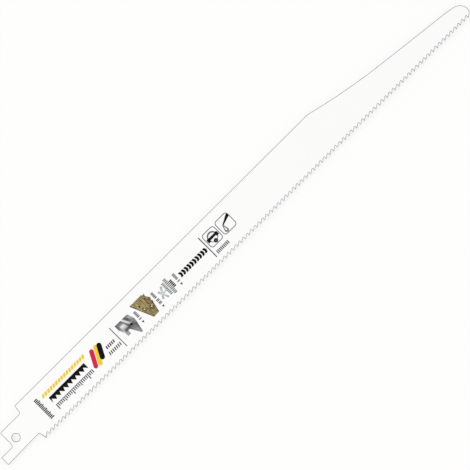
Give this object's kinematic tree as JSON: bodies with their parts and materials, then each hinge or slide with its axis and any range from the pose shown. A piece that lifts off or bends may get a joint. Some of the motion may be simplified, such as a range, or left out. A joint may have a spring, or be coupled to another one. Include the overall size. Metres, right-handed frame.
{
  "type": "reciprocating saw blade",
  "caption": "Long flat saw blade with a raker-set toothed edge, a hollow-tapered back, a rounded nose and a stepped tang with a pin hole and a finger.",
  "frame": {"origin": "centre of the pin hole in the tang, half way through the blade's thickness", "axes": "+X along the blade from the pin hole to the nose, +Y across it from the tooth points to the back, +Z through the thickness, out of the printed face"},
  "size_m": [0.3, 0.0208, 0.002],
  "materials": {
    "blade_coat": "satin white coating on tool steel, bare steel on the bevels, tooth flanks and hole wall",
    "bare_steel": "bare ground steel, in a thin line along the edges and teeth where the coating stops",
    "black_ink": "flat black printing ink",
    "grey_ink": "flat grey printing ink",
    "yellow_ink": "flat yellow printing ink",
    "red_ink": "flat red printing ink",
    "brown_ink": "flat brown printing ink with grain lines",
    "blue_ink": "flat pale steel blue printing ink"
  },
  "bodies": {
    "root": {"blade": "blade_coat"}
  },
  "joints": []
}
